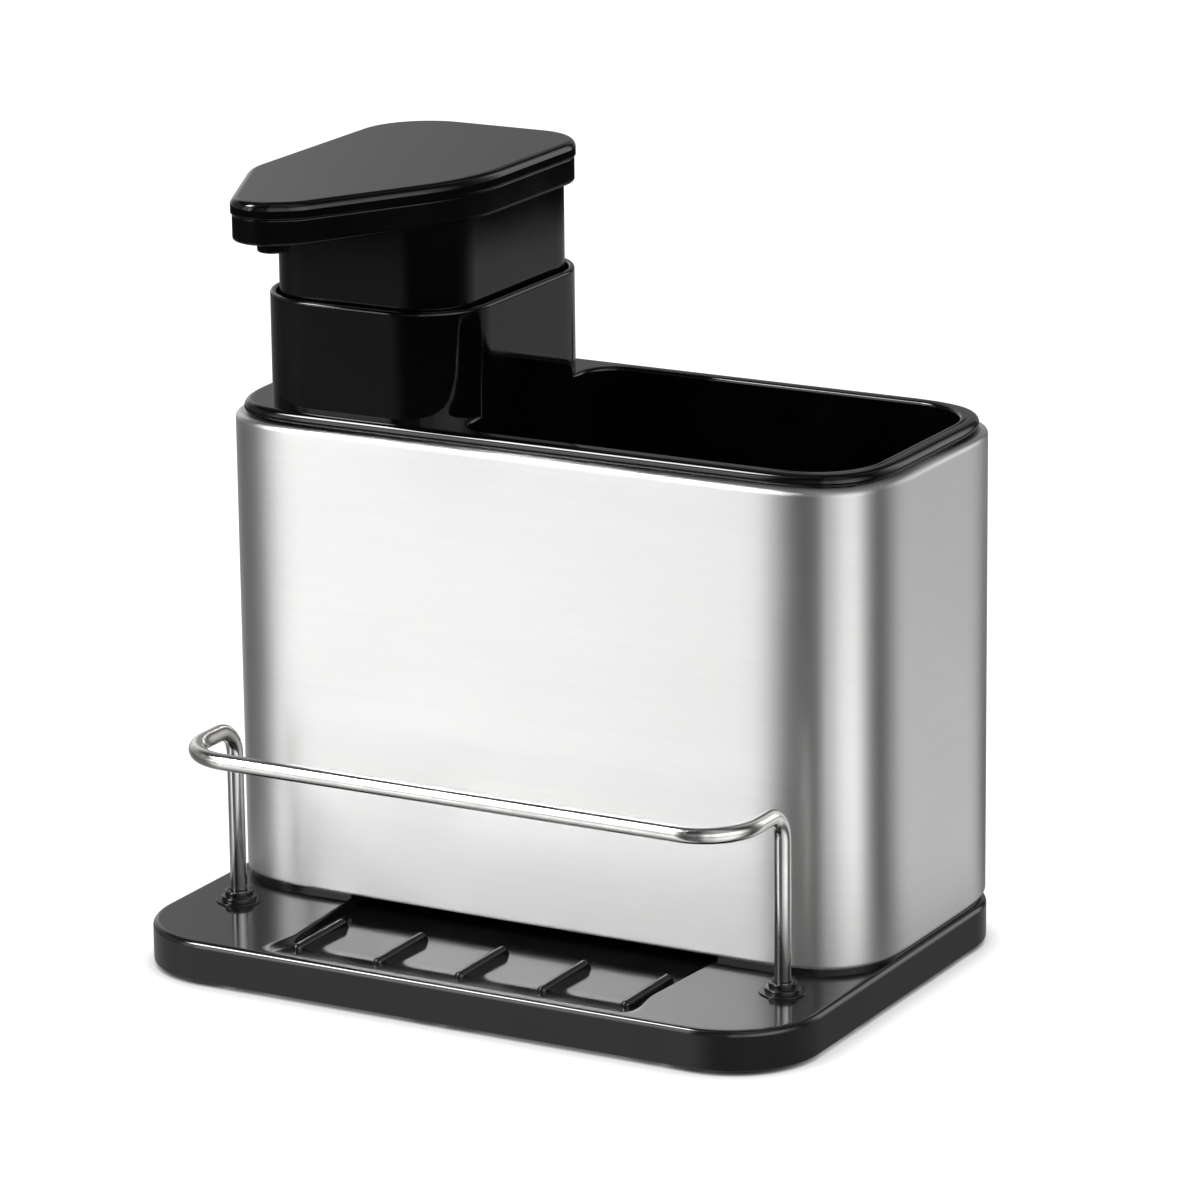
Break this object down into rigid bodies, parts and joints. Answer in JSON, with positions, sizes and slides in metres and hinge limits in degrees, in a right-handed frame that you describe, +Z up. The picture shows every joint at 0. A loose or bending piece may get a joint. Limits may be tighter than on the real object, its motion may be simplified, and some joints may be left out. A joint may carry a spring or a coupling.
{
  "type": "soap pump caddy",
  "caption": "Free-standing sink caddy: steel-sleeved brush bin with a press soap pump, over a drip tray with a wire sponge rail.",
  "frame": {"origin": "on the worktop, under the middle of the tray", "axes": "+X to the right seen from the sponge rail, +Y to the back, +Z up"},
  "size_m": [0.1756, 0.1278, 0.1869],
  "materials": {
    "black_gloss": "glossy moulded",
    "black_satin": "satin moulded",
    "black_rubber": "smooth rubber",
    "brushed_steel": "fine horizontal brushing",
    "polished_steel": "polished stainless wire",
    "plain_steel": "plain bright steel",
    "natural_plastic": "natural translucent moulding",
    "white_plastic": "plain white moulding"
  },
  "bodies": {
    "root": {"base_tray": "black_gloss", "rubber_feet": "black_rubber", "steel_sleeve": "brushed_steel", "rail_grommets": "black_rubber", "sponge_rail": "polished_steel", "rail_push_nuts": "plain_steel"},
    "insert": {"caddy_insert": "black_gloss"},
    "bottle": {"soap_bottle": "natural_plastic"},
    "pump": {"neck_gasket": "white_plastic", "screw_closure": "black_satin", "pump_cylinder": "white_plastic", "stem_guide": "white_plastic", "dip_tube": "natural_plastic", "return_spring": "plain_steel"},
    "ball": {"inlet_ball": "plain_steel"},
    "pump_head": {"piston_seal": "black_rubber", "pump_stem": "white_plastic", "head_shroud": "black_gloss", "shroud_screws": "plain_steel", "head_body": "black_satin", "spout_channel": "white_plastic", "nozzle_tip": "black_satin", "head_cover": "black_gloss"}
  },
  "joints": [
    {"name": "insert_lift", "type": "slide", "parent": "root", "child": "insert", "axis": [0, 0, 1], "range_m": [0, 0.112]},
    {"name": "bottle_lift", "type": "slide", "parent": "insert", "child": "bottle", "axis": [0, 0, 1], "range_m": [0, 0.138]},
    {"name": "pump_lift", "type": "slide", "parent": "bottle", "child": "pump", "axis": [0, 0, 1], "range_m": [0, 0.113]},
    {"name": "pump_press", "type": "slide", "parent": "pump", "child": "pump_head", "axis": [0, 0, -1], "range_m": [0, 0.013], "stiffness_N_per_m": 500, "springref_m": -0.01, "deforming": ["return_spring"]},
    {"name": "ball_lift", "type": "slide", "parent": "pump", "child": "ball", "axis": [0, 0, 1], "range_m": [0, 0.0015]}
  ]
}
